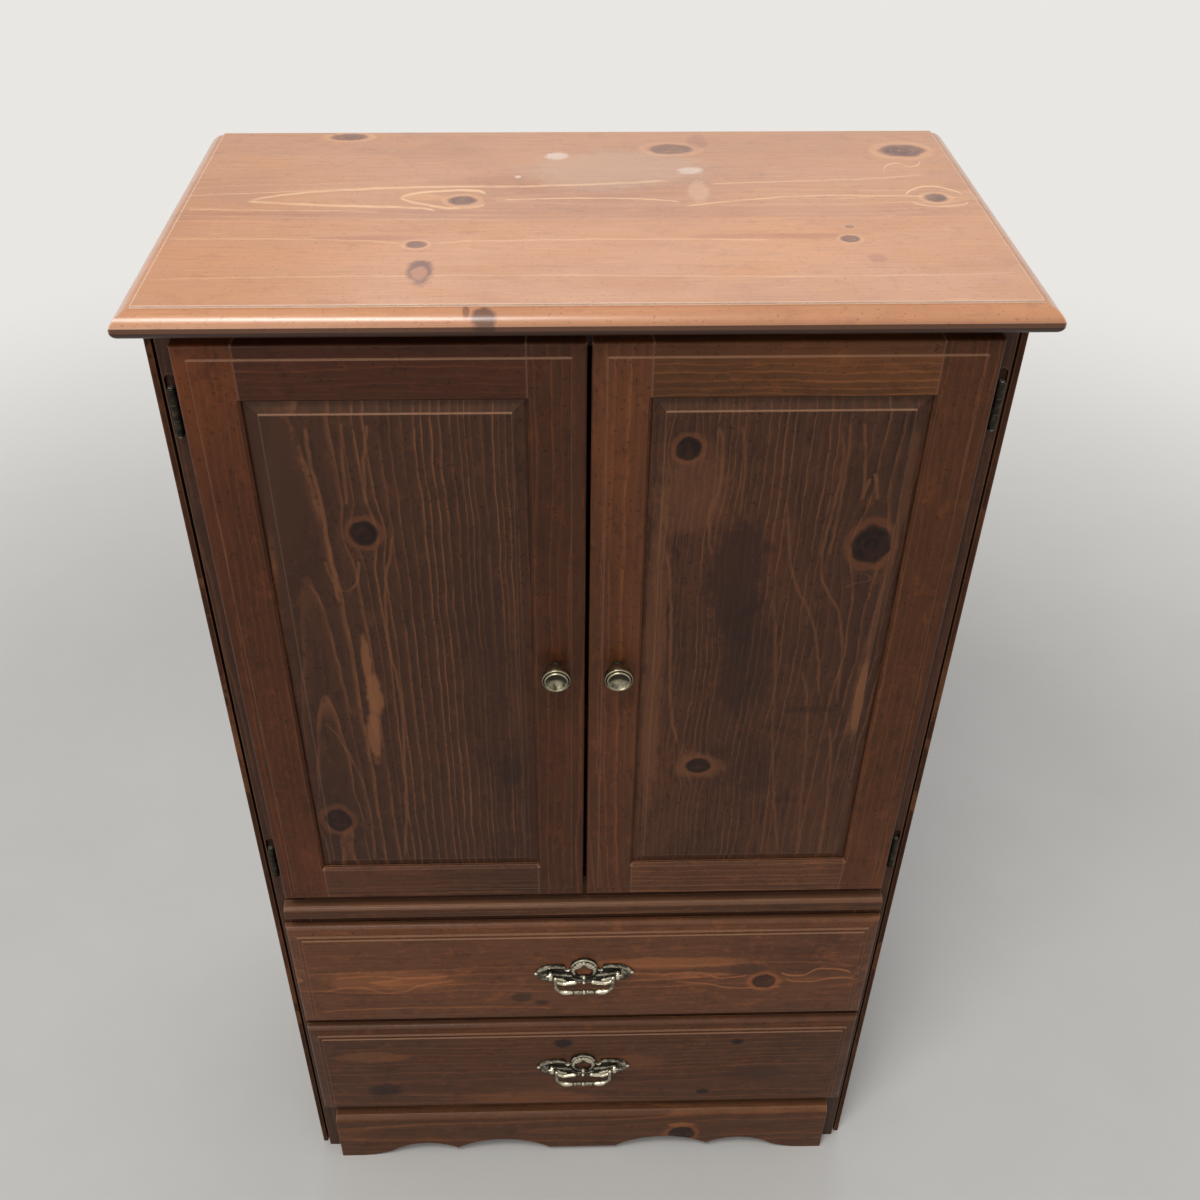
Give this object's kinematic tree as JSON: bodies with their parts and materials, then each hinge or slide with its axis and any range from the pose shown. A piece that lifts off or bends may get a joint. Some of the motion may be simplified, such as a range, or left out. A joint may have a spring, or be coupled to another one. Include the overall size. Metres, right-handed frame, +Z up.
{
  "type": "tv armoire",
  "caption": "Pine television armoire with panelled doors over a shelved bay, drawers with hanging bail pulls, a moulded top slab and a scalloped skirt.",
  "frame": {"origin": "centre of the footprint on the floor", "axes": "+Z up, the doors and drawers face -Y, +X to the right of someone facing them"},
  "size_m": [0.83, 0.4622, 1.416],
  "materials": {
    "pine": "brown stained pine under satin lacquer, with knots",
    "pine_top": "brown stained pine under satin lacquer, worn on top",
    "raw_pine": "plain unfinished pine",
    "back_board": "thin plywood, stained",
    "aged_brass": "antique, dark in the recesses",
    "dark_steel": "dull zinc plate"
  },
  "bodies": {
    "case": {"top_slab": "pine_top", "side_panel_left": "pine", "side_panel_right": "pine", "back_panel": "back_board", "face_stile_left": "pine", "face_stile_right": "pine", "top_rail": "pine", "middle_rail": "pine", "divider_rail": "pine", "bottom_rail": "pine", "waist_moulding": "pine", "skirt_board": "pine", "deck_board": "pine", "media_shelf": "pine", "shelf_pins": "dark_steel", "drawer_runners_upper": "raw_pine", "drawer_runners_lower": "raw_pine", "bottom_panel": "raw_pine", "rear_top_rail": "pine", "corner_blocks": "raw_pine", "hinge_case_leaves": "aged_brass", "hinge_pins": "aged_brass", "hinge_case_screws": "aged_brass", "door_catches": "dark_steel"},
    "left_door": {"left_door_outer_stile": "pine", "left_door_inner_stile": "pine", "left_door_top_rail": "pine", "left_door_bottom_rail": "pine", "left_door_panel": "pine", "left_door_knob": "aged_brass", "left_door_knob_screw": "dark_steel", "left_door_hinge_leaves": "aged_brass", "left_door_hinge_screws": "aged_brass", "left_door_strike": "dark_steel"},
    "right_door": {"right_door_outer_stile": "pine", "right_door_inner_stile": "pine", "right_door_top_rail": "pine", "right_door_bottom_rail": "pine", "right_door_panel": "pine", "right_door_knob": "aged_brass", "right_door_knob_screw": "dark_steel", "right_door_hinge_leaves": "aged_brass", "right_door_hinge_screws": "aged_brass", "right_door_strike": "dark_steel"},
    "lower_drawer": {"lower_drawer_front": "pine", "lower_drawer_side_left": "raw_pine", "lower_drawer_side_right": "raw_pine", "lower_drawer_back": "raw_pine", "lower_drawer_bottom": "raw_pine", "lower_drawer_pull_plate": "aged_brass", "lower_drawer_pull_screws": "dark_steel"},
    "upper_drawer": {"upper_drawer_front": "pine", "upper_drawer_side_left": "raw_pine", "upper_drawer_side_right": "raw_pine", "upper_drawer_back": "raw_pine", "upper_drawer_bottom": "raw_pine", "upper_drawer_pull_plate": "aged_brass", "upper_drawer_pull_screws": "dark_steel"},
    "lower_bail": {"lower_drawer_pull_bail": "aged_brass"},
    "upper_bail": {"upper_drawer_pull_bail": "aged_brass"}
  },
  "joints": [
    {"name": "left_door_hinge", "type": "hinge", "parent": "case", "child": "left_door", "pos_m": [-0.3815, -0.1889, 1], "axis": [0, 0, -1], "range_deg": [0, 110]},
    {"name": "right_door_hinge", "type": "hinge", "parent": "case", "child": "right_door", "pos_m": [0.3815, -0.1889, 1], "axis": [0, 0, 1], "range_deg": [0, 110]},
    {"name": "lower_drawer_slide", "type": "slide", "parent": "case", "child": "lower_drawer", "axis": [0, -1, 0], "range_m": [0, 0.3]},
    {"name": "upper_drawer_slide", "type": "slide", "parent": "case", "child": "upper_drawer", "axis": [0, -1, 0], "range_m": [0, 0.3]},
    {"name": "lower_bail_swing", "type": "hinge", "parent": "lower_drawer", "child": "lower_bail", "pos_m": [0, -0.2125, 0.233], "axis": [-1, 0, 0], "range_deg": [-5, 90]},
    {"name": "upper_bail_swing", "type": "hinge", "parent": "upper_drawer", "child": "upper_bail", "pos_m": [0, -0.2125, 0.455], "axis": [-1, 0, 0], "range_deg": [-5, 90]}
  ]
}
